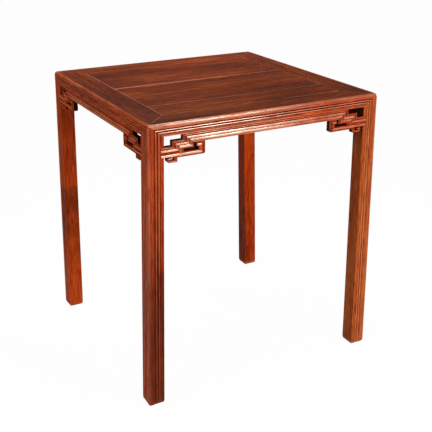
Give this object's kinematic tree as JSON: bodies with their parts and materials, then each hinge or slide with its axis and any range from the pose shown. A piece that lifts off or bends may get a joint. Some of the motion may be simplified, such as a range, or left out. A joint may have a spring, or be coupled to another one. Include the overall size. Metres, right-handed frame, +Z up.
{
  "type": "square dining table",
  "caption": "Wooden square table: mitred frame with a floating board panel, legs splayed sideways in three-way mitres, aprons ending in key-fret spandrels.",
  "frame": {"origin": "on the floor, under the middle of the table top", "axes": "+Z up, X along the panel boards and the long rails, Y across them"},
  "size_m": [0.801, 0.76, 0.865],
  "materials": {
    "frame_wood": "semi-gloss reddish brown",
    "leg_wood": "semi-gloss orange red brown",
    "apron_wood": "semi-gloss orange red brown",
    "panel_wood": "satin dark brown",
    "batten_wood": "plain, unpolished"
  },
  "bodies": {
    "root": {"front_rail": "frame_wood", "front_apron": "apron_wood", "front_spandrel_left": "apron_wood", "front_spandrel_right": "apron_wood", "right_rail": "frame_wood", "right_apron": "apron_wood", "right_spandrel_front": "apron_wood", "right_spandrel_back": "apron_wood", "back_rail": "frame_wood", "back_apron": "apron_wood", "back_spandrel_right": "apron_wood", "back_spandrel_left": "apron_wood", "left_rail": "frame_wood", "left_apron": "apron_wood", "left_spandrel_back": "apron_wood", "left_spandrel_front": "apron_wood", "front_left_leg": "leg_wood", "front_right_leg": "leg_wood", "back_left_leg": "leg_wood", "back_right_leg": "leg_wood", "front_board": "panel_wood", "middle_board": "panel_wood", "back_board": "panel_wood", "batten_1": "batten_wood", "batten_2": "batten_wood", "batten_3": "batten_wood"}
  },
  "joints": []
}
